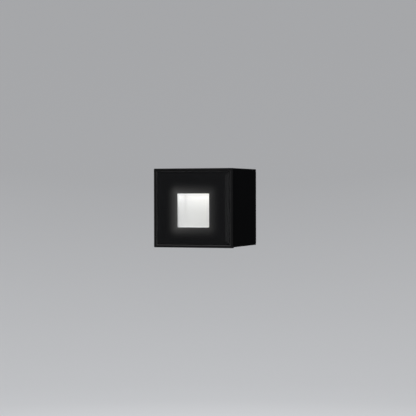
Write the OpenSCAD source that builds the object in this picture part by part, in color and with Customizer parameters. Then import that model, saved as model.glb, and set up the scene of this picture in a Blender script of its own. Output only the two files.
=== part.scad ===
// Box-shaped outdoor wall light: a cast housing with a black glass front and one small square light window.
// The wall is the plane y = 0, the light faces -Y, +X is to the right of someone facing it and +Z is up.
// All sizes are in millimetres.

/* [Body] */
// Width of the front frame, the widest piece
lamp_w = 106; // [104:1:116]
// Height of the front frame
lamp_h = 100; // [99:1:112]
// Depth from the wall to the face of the glass
lamp_d = 100; // [98:1:120]
// Wall thickness of the cast housing
shell_wall = 2.5; // [2:0.1:3]
// How far the front frame stands below the housing, as a drip edge
drip_edge = 0.8; // [0.2:0.1:1.2]
// How far the front frame stands out at each side of the housing
side_reveal = 0.5; // [0:0.1:1]
// Radius of the housing's long edges
long_edge_r = 1.2; // [0.6:0.1:2]
// Radius of the housing's edges at the wall
rear_edge_r = 1.6; // [0.6:0.1:2]

/* [Front] */
// Side length of the square light window
window_side = 42.5; // [36:0.5:44]
// Distance of the window's centre below the centre of the front
window_drop = 3.1; // [0:0.1:4]
// Width of the metal lip around the glass
lip_w = 2.8; // [2:0.1:3.4]
// Width of the sealed joint between the lip and the glass
joint_w = 1.2; // [0.6:0.1:1.6]
// Width of the bevel around the glass
bevel_w = 5.4; // [2:0.1:8]
// Height of the bevel around the glass
bevel_h = 1.2; // [0.5:0.1:1.8]
// Thickness of the glass
glass_t = 3.2; // [3:0.1:3.6]
// How far the face of the glass stands in front of the lip
glass_proud = 1; // [0.4:0.1:1.2]

/* [Wall plate] */
// Width of the steel wall plate
plate_w = 80; // [78:1:90]
// Height of the wall plate over its two folded tabs
plate_h = 84; // [82:0.5:84]
// Thickness of the wall plate
plate_t = 2; // [1.5:0.1:2.5]
// Distance between the centres of the two fixing slots
slot_spacing = 60; // [58:1:62]
// Width of a fixing slot
slot_w = 5; // [4:0.5:6]
// Length of a fixing slot from end to end
slot_l = 12; // [8:1:13]
// Diameter of the supply cable's bore
cable_d = 9; // [6:0.5:11]

/* [Hidden] */

$fn = 64;
past = 1;          // how far a cut runs past a face
thread_gap = 0.05; // radial play of a screw in its tapped hole

// Depths from the wall
gasket_t = 2;
plate_front = gasket_t + plate_t;
tab_reach = 18;
housing_rear = gasket_t + 0.3;
bulkhead_rear = 59;
bulkhead_t = 4;
bulkhead_front = bulkhead_rear + bulkhead_t;
lip_front = lamp_d - glass_proud;
glass_rear = lamp_d - glass_t;
seal_bed_t = 0.4;
frame_floor_front = glass_rear - seal_bed_t;
frame_floor_t = 2.4;
frame_rear = frame_floor_front - frame_floor_t;
frame_gasket_t = 1;
housing_front = frame_rear - frame_gasket_t;

// Housing
housing_w = lamp_w - 2 * side_reveal;
housing_h = lamp_h - drip_edge;
housing_up = drip_edge / 2;
inner_w = housing_w - 2 * shell_wall;
inner_h = housing_h - 2 * shell_wall;
inner_corner_r = 1;
column_side = 12;
frame_screw_at = [inner_w / 2 - 4.5, inner_h / 2 - 5.1];
frame_screw_d = 4;
frame_post_d = 8;
frame_post_l = 4.5;

// Set screws on the underside, and the ribs that rest on the upper tab
set_screw_x = 28;
set_screw_depth = 11;
set_screw_d = 4;
set_screw_l = 6;
set_screw_boss_d = 10;
set_screw_gap = 0.1;
rest_gap = 0.3;
rib_w = 3;
rib_depths = [5, 20];

// Glass, seal and frame
recess_w = lamp_w - 2 * lip_w;
recess_h = lamp_h - 2 * lip_w;
glass_w = recess_w - 2 * joint_w;
glass_h = recess_h - 2 * joint_w;
joint_depth = 0.8;
frame_edge_r = 0.6;
floor_window = window_side + 2;

// Light engine, centred on the window
diffuser_side = window_side + 6;
diffuser_t = 2;
reflector_side = diffuser_side + 3;
reflector_hollow = window_side + 3;
thermal_pad_t = 0.5;
board_rear = bulkhead_front + thermal_pad_t;
board_t = 1.6;
board_front = board_rear + board_t;
board_size = [70, 54];
ear_side = 10;
ear_t = 2;
engine_screw_at = [30.5, 20];
engine_screw_d = 3;
chip_side = 3.5;
chip_t = 0.8;
chip_pitch = 13;
connector_size = [8, 10, 5];

// Driver
driver_size = [68, 36, 20];
driver_at = [0, -20];
driver_wall = 1.6;
driver_lid_t = 1.8;
driver_ear_l = 8;
driver_ear_h = 14;
driver_ear_t = 2.4;
driver_screw_x = driver_size[0] / 2 + driver_ear_l / 2;
driver_rear = bulkhead_rear - driver_size[2];
driver_port_ups = [-14, -22];
driver_port_depth = 49;

// Terminal block
block_size = [32, 18, 15];
block_at = [-18, 23];
pole_pitch = 10;
pole_depth = 10;
tunnel_w = 5.2;
tunnel_h = 6.4;
insert_l = 14;
insert_gap = 0.1;
clamp_screw_d = 2.8;
clamp_screw_offset = 4.4;
block_screw_offset = 5;
block_screw_d = 2.5;

// Plug and socket between the wall plate and the housing
socket_at = [23, 23];
socket_size = [22, 14, 16];
socket_front = plate_front + socket_size[2];
plug_gap = 0.6;
plug_rear = socket_front + plug_gap;
contact_pitch = 6;
pin_d = 1.4;
pin_rear = socket_front - 10;
pin_front = plug_rear + 4;
socket_ear = [32, 8, 2.5];
socket_screw_offset = 13.5;
plug_ear = [36, 10, 3];
plug_screw_offset = 15;

// Cable grommet and earth points
cable_at = [6, -18];
grommet_hole_r = 8;
grommet_neck_r = grommet_hole_r - 0.05;
grommet_flange_r = 10;
plate_earth_at = [-18, -24];
head_earth_at = [44, 8];
washer_t = 0.6;
ring_t = 0.8;

// Leads: points are [across, up, out from the wall]
mains_lead_d = 2.2;
led_lead_d = 1.8;
lead_sides = 8;
lead_hole_at = [-44, 5.9];
live_route = [
    [-8, 29, 10], [-8, 34, 10], [-6, 37, 10.5], [0, 38, 11], [10, 38, 11], [15, 36.5, 10.5], [17, 33.5, 10], [17, 30, 10]
];
neutral_route = [
    [-18, 29, 10], [-18, 33, 10], [-17, 36.5, 13], [-8, 38, 15.5], [12, 38, 15.5],
    [20, 37.2, 14.5], [23, 34.5, 12], [23, 33, 11], [23, 30, 11]
];
earth_route = [
    [-28, 29, 10], [-28, 33, 10.3], [-27, 36.2, 14.5], [-23, 37.8, 19], [-14, 38, 20], [14, 38, 20],
    [24, 37.4, 18], [28.4, 35.4, 14], [29, 33, 12], [29, 30, 12]
];
plate_earth_route = [
    [-18, -16, 6.3], [-18, -13, 6.3], [-18.2, -8, 7.5], [-19.5, -1, 10], [-22.5, 5, 11],
    [-26, 9, 10.6], [-28, 12.5, 10], [-28, 17, 10]
];
driver_live_route = [
    [17, 16, 46], [17, 12.5, 46], [18.3, 8.8, 46.4], [22, 6.2, 47], [29, 5, 47.5], [38, 4, 48],
    [43, 0, 48.5], [45, -6, 49], [43, -12, 49], [38.5, -14, 49], [30.5, -14, 49]
];
driver_neutral_route = [
    [23, 16, 42], [23, 12, 42], [27, 9.5, 42], [36, 8.5, 42.5], [43.5, 5, 43.5],
    [47.5, -4, 45], [47.5, -14, 47], [44, -21, 48.5], [39, -22, 49], [30.5, -22, 49]
];
head_earth_route = [
    [29, 16, 50], [29, 13, 50], [29.3, 10.6, 51.6], [30.2, 8.8, 54.4], [32, 8, 56.7], [34, 8, 57.3], [36, 8, 57.3]
];
led_plus_route = [
    [-30.5, -14, 49], [-39, -14, 49], [-43.5, -11, 49.4], [-45.2, -4, 50], [-44.6, 3, 50.4], [-44, 6, 51.6],
    [-44, 7, 54], [-44, 7, 57], [-44, 7, 61], [-44, 7, 65], [-43.4, 6, 67.4], [-42, 3, 68.6],
    [-40.4, 0, 68.4], [-38.6, -1.5, 67.8], [-37, -1.5, 67.6], [-35, -1.5, 67.6]
];
led_minus_route = [
    [-30.5, -22, 49], [-40, -22, 49], [-45.5, -18, 49], [-48, -8, 49.4], [-48, -1, 50.4], [-47.4, 2.6, 52.4],
    [-45.6, 4.5, 54.8], [-44.2, 4.8, 57.2], [-44, 4.8, 61], [-44, 4.8, 64.8], [-44, 3.8, 66.8], [-43.6, 0.5, 68.2],
    [-42.6, -3, 68.2], [-40.4, -4.7, 67.7], [-38, -4.7, 67.6], [-35, -4.7, 67.6]
];

black_coat = "#1b1c1e";
black_rubber = "#262626";
steel = "#b9bcc0";
brass = "#c8a24a";
white_plastic = "#f2f2ee";

// Placing and drawing

// Children are drawn in the front view (across, up), and their height is their depth out from the wall.
module out(depth = 0) {
    rotate([90, 0, 0])
        translate([0, 0, depth])
            children();
}

// A plate of the front-view outline between two depths
module slab(from, to) {
    out(from)
        linear_extrude(to - from)
            children();
}

// An outline drawn as (across, depth), made into a bar of the given height
module upright(height) {
    rotate([180, 0, 0])
        linear_extrude(height, center = true)
            children();
}

// An outline drawn as (up, depth), made into a bar of the given width
module across(width) {
    rotate([180, -90, 0])
        linear_extrude(width, center = true)
            children();
}

// The four mirrored places at [x, y]
module four_at(place) {
    for (x = [-1, 1], y = [-1, 1])
        translate([x * place[0], y * place[1]])
            children();
}

// The two places at plus and minus x
module pair_at(x) {
    for (side = [-1, 1])
        translate([side * x, 0])
            children();
}

module round_rect(w, h, r) {
    square([w - 2 * r, h], center = true);
    square([w, h - 2 * r], center = true);
    four_at([w / 2 - r, h / 2 - r]) circle(r);
}

module slot_outline(length, width) {
    square([length - width, width], center = true);
    pair_at((length - width) / 2) circle(d = width);
}

// A bar's outline, w wide between two depths, whose corners at one end are round
module end_outline(w, rear, front, rear_r, front_r) {
    translate([-w / 2, rear + rear_r])
        square([w, front - rear - rear_r - front_r]);
    if (rear_r > 0) {
        translate([-w / 2 + rear_r, rear]) square([w - 2 * rear_r, 2 * rear_r]);
        pair_at(w / 2 - rear_r) translate([0, rear + rear_r]) circle(rear_r);
    }
    if (front_r > 0) {
        translate([-w / 2 + front_r, front - 2 * front_r]) square([w - 2 * front_r, 2 * front_r]);
        pair_at(w / 2 - front_r) translate([0, front - front_r]) circle(front_r);
    }
}

// A block whose long edges have radius long_r, and whose edges at the rear and front have their own radii
module soft_block(w, h, rear, front, long_r, rear_r = 0, front_r = 0) {
    intersection() {
        slab(rear, front) round_rect(w, h, long_r);
        upright(h + 2 * past) end_outline(w, rear, front, rear_r, front_r);
        across(w + 2 * past) end_outline(h, rear, front, rear_r, front_r);
    }
}

// A pan-head screw with a cross recess: the head's seat is at 0, the shank goes to +Z and the head to -Z.
module screw(shank_d, shank_l, head_d, head_h) {
    blade = shank_d / 4;
    difference() {
        union() {
            cylinder(d = shank_d, h = shank_l, $fn = 32);
            translate([0, 0, -head_h]) cylinder(d = head_d, h = head_h, $fn = 32);
        }
        for (turn = [0, 90])
            rotate(turn)
                translate([0, 0, -head_h])
                    cube([head_d * 0.6, blade, head_h * 1.2], center = true);
    }
}

// A screw driven towards the room, its seat at the given depth
module screw_outward(depth, shank_d, shank_l, head_d, head_h) {
    out(depth) screw(shank_d, shank_l, head_d, head_h);
}

// A screw driven towards the wall, its seat at the given depth
module screw_inward(depth, shank_d, shank_l, head_d, head_h) {
    out(depth) mirror([0, 0, 1]) screw(shank_d, shank_l, head_d, head_h);
}

// Moves front-view things that aren't slabs: across and up
module moved(place) {
    translate([place[0], 0, place[1]])
        children();
}

function unit(v) = v / norm(v);
function heading(route, i) = unit(route[min(i + 1, len(route) - 1)] - route[max(i - 1, 0)]);
function square_to(v, along) = unit(v - along * (v * along));
// The sideways direction of ring i, carried along the route so that the tube doesn't twist
function sideways(route, i) =
    i == 0
        ? square_to(abs(heading(route, 0)[2]) < 0.9 ? [0, 0, 1] : [1, 0, 0], heading(route, 0))
        : square_to(sideways(route, i - 1), heading(route, i));
function ring(route, i, r) =
    let (along = heading(route, i), aside = sideways(route, i), up = cross(along, aside))
    [for (k = [0 : lead_sides - 1]) route[i] + r * (cos(360 * k / lead_sides) * aside + sin(360 * k / lead_sides) * up)];

// A round lead along a route
module lead(route, d) {
    n = lead_sides;
    last = len(route) - 1;
    points = [for (i = [0 : last]) each ring(route, i, d / 2)];
    walls = [
        for (i = [0 : last - 1], k = [0 : n - 1])
            let (a = i * n + k, b = i * n + (k + 1) % n)
            each [[a, a + n, b], [b, a + n, b + n]]
    ];
    ends = [[for (k = [0 : n - 1]) k], [for (k = [n - 1 : -1 : 0]) last * n + k]];
    out() polyhedron(points, concat(walls, ends), convexity = 6);
}

// A crimped ring terminal on the depth given, its barrel turned by an angle
module ring_terminal(depth, turn) {
    ring_d = 8;
    hole_d = 4.3;
    barrel_d = 3.4;
    barrel_l = 5;
    barrel_start = 3;
    difference() {
        union() {
            slab(depth, depth + ring_t) {
                circle(d = ring_d);
                rotate(turn) translate([0, -barrel_d / 2]) square([barrel_start + 2, barrel_d]);
            }
            out(depth + barrel_d / 2)
                rotate([0, 90, turn])
                    translate([0, 0, barrel_start])
                        cylinder(d = barrel_d, h = barrel_l, $fn = 32);
        }
        slab(depth - past, depth + barrel_d + past) circle(d = hole_d);
        slab(depth + ring_t, depth + barrel_d + past) circle(d = ring_d);
    }
}

// Wall side

module wall_gasket() {
    inset = 1;
    corner_r = 3;
    color(black_rubber)
        difference() {
            slab(0, gasket_t)
                translate([0, housing_up])
                    round_rect(housing_w - 2 * inset, housing_h - 2 * inset, corner_r);
            slab(-past, gasket_t + past) {
                pair_at(slot_spacing / 2) slot_outline(slot_l + 1, slot_w + 1);
                translate(cable_at) circle(grommet_flange_r + 0.5);
            }
        }
}

module wall_plate() {
    tab_w = 68;
    corner_r = 5;
    bend_r = 3;
    color(steel)
        difference() {
            union() {
                slab(gasket_t, plate_front) round_rect(plate_w, plate_h - 2 * bend_r, corner_r);
                across(tab_w)
                    translate([0, tab_reach])
                        difference() {
                            round_rect(plate_h, 2 * (tab_reach - gasket_t), bend_r);
                            round_rect(plate_h - 2 * plate_t, 2 * (tab_reach - gasket_t - plate_t), bend_r - plate_t);
                            translate([-plate_h / 2 - past, 0]) square([plate_h + 2 * past, tab_reach + past]);
                        }
            }
            slab(gasket_t - past, plate_front + past) {
                pair_at(slot_spacing / 2) slot_outline(slot_l, slot_w);
                translate(cable_at) circle(grommet_hole_r);
                translate(plate_earth_at) circle(d = frame_screw_d + 2 * thread_gap);
                translate(block_at)
                    pair_at(block_screw_offset) circle(d = block_screw_d + 2 * thread_gap);
                translate(socket_at)
                    pair_at(socket_screw_offset) circle(d = block_screw_d + 2 * thread_gap);
            }
        }
}

module cable_grommet() {
    flange_t = 1.5;
    nose_r = 6.5;
    nose_l = 3.5;
    rear = gasket_t - flange_t;
    color(black_rubber)
        moved(cable_at)
            out(rear)
                difference() {
                    union() {
                        cylinder(r = grommet_flange_r, h = flange_t);
                        cylinder(r = grommet_neck_r, h = flange_t + plate_t);
                        translate([0, 0, flange_t + plate_t]) cylinder(r = grommet_flange_r, h = flange_t);
                        cylinder(r = nose_r, h = 2 * flange_t + plate_t + nose_l);
                    }
                    translate([0, 0, -past])
                        cylinder(d = cable_d, h = 2 * flange_t + plate_t + nose_l + 2 * past);
                }
}

// Children at each of the block's three poles
module each_pole() {
    for (pole = [-1, 0, 1])
        translate([block_at[0] + pole * pole_pitch, 0, 0])
            children();
}

module terminal_block() {
    well_d = 4.2;
    front = plate_front + block_size[2];
    ridge_w = 1.6;
    ridge_h = 2;
    color(white_plastic)
        difference() {
            union() {
                slab(plate_front, front) translate(block_at) round_rect(block_size[0], block_size[1], 1);
                slab(front - past, front + ridge_h)
                    translate(block_at)
                        pair_at(block_size[0] / 2 - ridge_w / 2) square([ridge_w, block_size[1] - 2], center = true);
            }
            each_pole() {
                slab(pole_depth - tunnel_h / 2, pole_depth + tunnel_h / 2)
                    translate([0, block_at[1]])
                        square([tunnel_w, block_size[1] + 2 * past], center = true);
                for (side = [-1, 1])
                    moved([0, block_at[1] + side * clamp_screw_offset])
                        out(pole_depth) cylinder(d = well_d, h = front);
            }
            moved(block_at) {
                for (side = [-1, 1])
                    translate([side * block_screw_offset, 0, 0]) {
                        out(0) cylinder(d = block_screw_d + 0.4, h = front + past);
                        out(front - 2.5) cylinder(d = 4.8, h = front);
                    }
            }
        }
}

module terminal_inserts() {
    bore_d = 3;
    color(brass)
        each_pole()
            difference() {
                slab(pole_depth - tunnel_h / 2 + insert_gap, pole_depth + tunnel_h / 2 - insert_gap)
                    translate([0, block_at[1]])
                        square([tunnel_w - 2 * insert_gap, insert_l], center = true);
                translate([0, -pole_depth, block_at[1]])
                    cylinder(d = bore_d, h = insert_l + 2 * past, center = true);
                for (side = [-1, 1])
                    moved([0, block_at[1] + side * clamp_screw_offset])
                        out(pole_depth) cylinder(d = clamp_screw_d + 2 * thread_gap, h = tunnel_h);
            }
}

module terminal_clamp_screws() {
    tip = pole_depth + mains_lead_d / 2 + 0.3;
    length = 5;
    slit = [clamp_screw_d + past, 0.6, 1.4];
    color(steel)
        each_pole()
            for (side = [-1, 1])
                moved([0, block_at[1] + side * clamp_screw_offset])
                    out(tip)
                        difference() {
                            cylinder(d = clamp_screw_d, h = length, $fn = 32);
                            translate([0, 0, length]) cube(slit, center = true);
                        }
}

module terminal_block_screws() {
    seat = plate_front + block_size[2] - 2.5;
    color(steel)
        moved(block_at)
            for (side = [-1, 1])
                translate([side * block_screw_offset, 0, 0])
                    screw_inward(seat, block_screw_d, seat - gasket_t - 0.2, 4.4, 1.8);
}

module supply_socket() {
    contact_hole_d = 2;
    ear_hole_d = block_screw_d + 0.4;
    color("#2c2f33")
        difference() {
            union() {
                slab(plate_front, socket_front) translate(socket_at) round_rect(socket_size[0], socket_size[1], 1.5);
                slab(plate_front, plate_front + socket_ear[2])
                    translate(socket_at) round_rect(socket_ear[0], socket_ear[1], 1.5);
            }
            for (contact = [-1, 0, 1])
                moved([socket_at[0] + contact * contact_pitch, socket_at[1]])
                    out(pin_rear - 1) cylinder(d = contact_hole_d, h = socket_front);
            slab(plate_front - past, socket_front)
                translate(socket_at) pair_at(socket_screw_offset) circle(d = ear_hole_d);
        }
}

module supply_socket_screws() {
    seat = plate_front + socket_ear[2];
    color(steel)
        moved(socket_at)
            for (side = [-1, 1])
                translate([side * socket_screw_offset, 0, 0])
                    screw_inward(seat, block_screw_d, seat - gasket_t - 0.2, 4.4, 1.8);
}

module plate_earth_washer() {
    teeth = 12;
    tooth = [1, 1];
    washer_d = 8;
    color(steel)
        moved(plate_earth_at)
            slab(plate_front, plate_front + washer_t)
                difference() {
                    union() {
                        circle(d = washer_d);
                        for (k = [0 : teeth - 1])
                            rotate(360 * k / teeth) translate([washer_d / 2, 0]) square(tooth, center = true);
                    }
                    circle(d = frame_screw_d + 0.3);
                }
}

module plate_earth_ring() {
    color(steel) moved(plate_earth_at) ring_terminal(plate_front + washer_t, 90);
}

module plate_earth_screw() {
    seat = plate_front + washer_t + ring_t;
    color(brass) moved(plate_earth_at) screw_inward(seat, frame_screw_d, seat - gasket_t - 0.1, 7, 2.6);
}

module plate_earth_lead() { color("#7fae3a") lead(plate_earth_route, mains_lead_d); }
module live_lead() { color("#6b4226") lead(live_route, mains_lead_d); }
module neutral_lead() { color("#2b5fa8") lead(neutral_route, mains_lead_d); }
module earth_lead() { color("#7fae3a") lead(earth_route, mains_lead_d); }

// Housing and front

module housing() {
    rib_top = housing_up + inner_h / 2 + past;
    rib_foot = plate_h / 2 + rest_gap;
    floor_up = housing_up - inner_h / 2;
    boss_top = -plate_h / 2 - 1;
    color(black_coat)
        difference() {
            union() {
                difference() {
                    translate([0, 0, housing_up])
                        soft_block(housing_w, housing_h, housing_rear, housing_front, long_edge_r, rear_edge_r);
                    for (space = [[0, bulkhead_rear], [bulkhead_front, lamp_d]])
                        slab(space[0], space[1])
                            translate([0, housing_up]) round_rect(inner_w, inner_h, inner_corner_r);
                }
                slab(bulkhead_front - past, housing_front)
                    four_at(frame_screw_at) square(column_side, center = true);
                slab(rib_depths[0], rib_depths[1])
                    pair_at(set_screw_x)
                        translate([-rib_w / 2, rib_foot]) square([rib_w, rib_top - rib_foot]);
                for (side = [-1, 1])
                    translate([side * set_screw_x, -set_screw_depth, floor_up - past])
                        cylinder(d = set_screw_boss_d, h = boss_top - floor_up + past);
            }
            // frame screws, and the posts that they pull in
            slab(bulkhead_rear - past, housing_front + past)
                four_at(frame_screw_at) circle(d = frame_screw_d + 0.5);
            slab(frame_rear - frame_post_l - 0.5, housing_front + past)
                four_at(frame_screw_at) circle(d = frame_post_d + 0.6);
            // tapped holes for the set screws
            for (side = [-1, 1])
                translate([side * set_screw_x, -set_screw_depth, -lamp_h / 2 - past])
                    cylinder(d = set_screw_d + 2 * thread_gap, h = lamp_h / 2);
            // tapped blind holes on both faces of the bulkhead
            slab(bulkhead_front - 3.5, bulkhead_front + past)
                translate([0, -window_drop]) four_at(engine_screw_at) circle(d = engine_screw_d + 2 * thread_gap);
            slab(bulkhead_rear - past, bulkhead_rear + 3.5) {
                translate(driver_at) pair_at(driver_screw_x) circle(d = engine_screw_d + 2 * thread_gap);
                translate(socket_at) pair_at(plug_screw_offset) circle(d = engine_screw_d + 2 * thread_gap);
                translate(head_earth_at) circle(d = frame_screw_d + 2 * thread_gap);
            }
            // the leads' way through the bulkhead
            slab(bulkhead_rear - past, bulkhead_front + past)
                translate(lead_hole_at) circle(3.6);
        }
}

module set_screws() {
    hex_af = 2;
    hex_depth = 2.4;
    tip = -plate_h / 2 - set_screw_gap;
    color(steel)
        for (side = [-1, 1])
            translate([side * set_screw_x, -set_screw_depth, tip - set_screw_l])
                difference() {
                    cylinder(d = set_screw_d, h = set_screw_l, $fn = 32);
                    translate([0, 0, -past]) cylinder(d = hex_af / cos(30), h = hex_depth + past, $fn = 6);
                }
}

module frame_gasket() {
    inset = 0.3;
    color(black_rubber)
        slab(housing_front, frame_rear)
            translate([0, housing_up])
                difference() {
                    round_rect(housing_w - 2 * inset, housing_h - 2 * inset, long_edge_r);
                    round_rect(inner_w, inner_h, inner_corner_r);
                }
}

module front_frame() {
    bore_end = frame_floor_front - 0.8;
    color(black_coat)
        difference() {
            union() {
                soft_block(lamp_w, lamp_h, frame_rear, lip_front, long_edge_r, 0, frame_edge_r);
                slab(frame_rear - frame_post_l, frame_rear + past) four_at(frame_screw_at) circle(d = frame_post_d);
            }
            slab(frame_floor_front, lip_front + past) round_rect(recess_w, recess_h, 0.8);
            slab(frame_rear - past, lip_front)
                translate([0, -window_drop]) square(floor_window, center = true);
            slab(frame_rear - frame_post_l - past, bore_end)
                four_at(frame_screw_at) circle(d = frame_screw_d + 2 * thread_gap);
        }
}

module frame_screws() {
    length = frame_floor_front - 1.2 - bulkhead_rear;
    color(steel)
        for (x = [-1, 1], z = [-1, 1])
            moved([x * frame_screw_at[0], z * frame_screw_at[1]])
                screw_outward(bulkhead_rear, frame_screw_d, length, 7.5, 2.8);
}

module glass_seal() {
    color(black_rubber)
        difference() {
            slab(frame_floor_front, lip_front - joint_depth) round_rect(recess_w, recess_h, 0.8);
            slab(glass_rear, lamp_d) square([glass_w, glass_h], center = true);
            slab(frame_floor_front - past, lamp_d)
                translate([0, -window_drop]) square(floor_window + 1, center = true);
        }
}

// The section (across, depth) through a bevelled pane of the given width
function bevel_outline(w) = [
    [-w / 2, glass_rear], [w / 2, glass_rear], [w / 2, lamp_d - bevel_h], [w / 2 - bevel_w, lamp_d],
    [-w / 2 + bevel_w, lamp_d], [-w / 2, lamp_d - bevel_h]
];

module front_glass() {
    color("#0d0f12")
        intersection() {
            upright(glass_h) polygon(bevel_outline(glass_w));
            across(glass_w) polygon(bevel_outline(glass_h));
        }
}

// Light engine

module diffuser() {
    color("#fdfcf6")
        slab(frame_rear - diffuser_t, frame_rear)
            translate([0, -window_drop]) square(diffuser_side, center = true);
}

module reflector() {
    rabbet_gap = 0.2;
    front = frame_rear - 0.2;
    color(white_plastic)
        moved([0, -window_drop])
            difference() {
                union() {
                    slab(board_front, front) round_rect(reflector_side, reflector_side, 1);
                    slab(board_front, board_front + ear_t)
                        four_at(engine_screw_at) square(ear_side, center = true);
                }
                slab(board_front - past, front + past) square(reflector_hollow, center = true);
                slab(frame_rear - diffuser_t, front + past) square(diffuser_side + rabbet_gap, center = true);
                slab(board_front - past, board_front + ear_t + past)
                    four_at(engine_screw_at) circle(d = engine_screw_d + 0.4);
            }
}

module led_board() {
    color("#e9ebe6")
        moved([0, -window_drop])
            slab(board_rear, board_front)
                difference() {
                    square(board_size, center = true);
                    four_at(engine_screw_at) circle(d = engine_screw_d + 0.4);
                }
}

module led_chips() {
    color("#f3d35c")
        moved([0, -window_drop])
            slab(board_front, board_front + chip_t)
                for (column = [-1, 0, 1], row = [-1, 0, 1])
                    translate([column * chip_pitch, row * chip_pitch]) square(chip_side, center = true);
}

module led_connector() {
    entry = [2.4, 2.4];
    color(white_plastic)
        moved([-board_size[0] / 2, -window_drop])
            difference() {
                slab(board_front, board_front + connector_size[2])
                    translate([0, -connector_size[1] / 2]) square([connector_size[0], connector_size[1]]);
                // the button slots over the two contacts
                slab(board_front + connector_size[2] - 1, lamp_d)
                    for (side = [-1, 1]) translate([connector_size[0] * 0.6, side * 1.6]) square(entry, center = true);
            }
}

module thermal_pad() {
    margin = 1;
    color("#8fa7b5")
        moved([0, -window_drop])
            slab(bulkhead_front, board_rear)
                difference() {
                    square([board_size[0] - 2 * margin, board_size[1] - 2 * margin], center = true);
                    four_at(engine_screw_at) circle(d = engine_screw_d + 1);
                }
}

module light_engine_screws() {
    seat = board_front + ear_t;
    color(steel)
        for (x = [-1, 1], z = [-1, 1])
            moved([x * engine_screw_at[0], z * engine_screw_at[1] - window_drop])
                screw_inward(seat, engine_screw_d, seat - bulkhead_front + 3, 5.5, 2);
}

// Driver

module driver_case() {
    port = [5, 5];
    color("#d9dad6")
        difference() {
            union() {
                slab(driver_rear + driver_lid_t, bulkhead_rear)
                    translate(driver_at) round_rect(driver_size[0], driver_size[1], 2);
                slab(bulkhead_rear - driver_ear_t, bulkhead_rear)
                    translate(driver_at)
                        round_rect(driver_size[0] + 2 * driver_ear_l, driver_ear_h, 2);
            }
            slab(driver_rear, bulkhead_rear - driver_wall)
                translate(driver_at)
                    round_rect(driver_size[0] - 2 * driver_wall, driver_size[1] - 2 * driver_wall, 1);
            slab(bulkhead_rear - driver_ear_t - past, bulkhead_rear + past)
                translate(driver_at) pair_at(driver_screw_x) circle(d = engine_screw_d + 0.4);
            // lead ports at both ends
            for (up = driver_port_ups)
                slab(driver_port_depth - port[1] / 2, driver_port_depth + port[1] / 2)
                    translate([0, up]) square([driver_size[0] + 2 * past, port[0]], center = true);
        }
}

module driver_lid() {
    lip_t = 1.2;
    lip_h = 2;
    gap = 0.2;
    inner = [driver_size[0] - 2 * driver_wall - 2 * gap, driver_size[1] - 2 * driver_wall - 2 * gap];
    color("#c9cac6") {
        slab(driver_rear, driver_rear + driver_lid_t)
            translate(driver_at) round_rect(driver_size[0], driver_size[1], 2);
        slab(driver_rear + driver_lid_t, driver_rear + driver_lid_t + lip_h)
            translate(driver_at)
                difference() {
                    round_rect(inner[0], inner[1], 1);
                    round_rect(inner[0] - 2 * lip_t, inner[1] - 2 * lip_t, 0.8);
                }
    }
}

module driver_board() {
    board = [62, 31];
    board_depth = bulkhead_rear - driver_wall - 2;
    end_block = [7, 15, 8];
    end_block_x = 27;
    choke = [17, 15, 10];
    color("#3f6b46")
        translate([driver_at[0], 0, driver_at[1]]) {
            slab(board_depth - 1.6, board_depth) square(board, center = true);
            slab(board_depth - 1.6 - choke[2], board_depth)
                translate([-6, 2]) square([choke[0], choke[1]], center = true);
            slab(board_depth - 1.6 - end_block[2], board_depth)
                translate([0, 2]) pair_at(end_block_x) square([end_block[0], end_block[1]], center = true);
            moved([12, -6]) out(board_depth - 12) cylinder(d = 8, h = 11);
            moved([12, 6]) out(board_depth - 10) cylinder(d = 6, h = 9);
        }
}

module driver_screws() {
    seat = bulkhead_rear - driver_ear_t;
    color(steel)
        for (side = [-1, 1])
            moved([driver_at[0] + side * driver_screw_x, driver_at[1]])
                screw_outward(seat, engine_screw_d, driver_ear_t + 3, 5.5, 2);
}

// Plug, earth and leads in the housing

module supply_plug() {
    hollow = [18, 10];
    color("#2c2f33")
        difference() {
            union() {
                slab(plug_rear, bulkhead_rear) translate(socket_at) round_rect(socket_size[0], socket_size[1], 1.5);
                slab(bulkhead_rear - plug_ear[2], bulkhead_rear)
                    translate(socket_at) round_rect(plug_ear[0], plug_ear[1], 1.5);
            }
            slab(pin_front + 2, bulkhead_rear + past) translate(socket_at) square(hollow, center = true);
            slab(plug_rear - past, pin_front)
                translate(socket_at)
                    for (contact = [-1, 0, 1]) translate([contact * contact_pitch, 0]) circle(d = pin_d + 0.1);
            slab(bulkhead_rear - plug_ear[2] - past, bulkhead_rear + past)
                translate(socket_at) pair_at(plug_screw_offset) circle(d = engine_screw_d + 0.4);
        }
}

module plug_pins() {
    color(brass)
        for (contact = [-1, 0, 1])
            moved([socket_at[0] + contact * contact_pitch, socket_at[1]])
                out(pin_rear) cylinder(d = pin_d, h = pin_front - pin_rear, $fn = 32);
}

module supply_plug_screws() {
    seat = bulkhead_rear - plug_ear[2];
    color(steel)
        for (side = [-1, 1])
            moved([socket_at[0] + side * plug_screw_offset, socket_at[1]])
                screw_outward(seat, engine_screw_d, plug_ear[2] + 3, 5.5, 2);
}

module head_earth_ring() {
    color(steel)
        moved(head_earth_at)
            mirror([0, 1, 0])
                ring_terminal(-bulkhead_rear, 180);
}

module head_earth_screw() {
    seat = bulkhead_rear - ring_t;
    color(brass) moved(head_earth_at) screw_outward(seat, frame_screw_d, ring_t + 3, 7, 2.6);
}

module head_earth_lead() { color("#7fae3a") lead(head_earth_route, mains_lead_d); }
module driver_live_lead() { color("#6b4226") lead(driver_live_route, mains_lead_d); }
module driver_neutral_lead() { color("#2b5fa8") lead(driver_neutral_route, mains_lead_d); }
module led_plus_lead() { color("#c0392b") lead(led_plus_route, led_lead_d); }
module led_minus_lead() { color("#202020") lead(led_minus_route, led_lead_d); }

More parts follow.
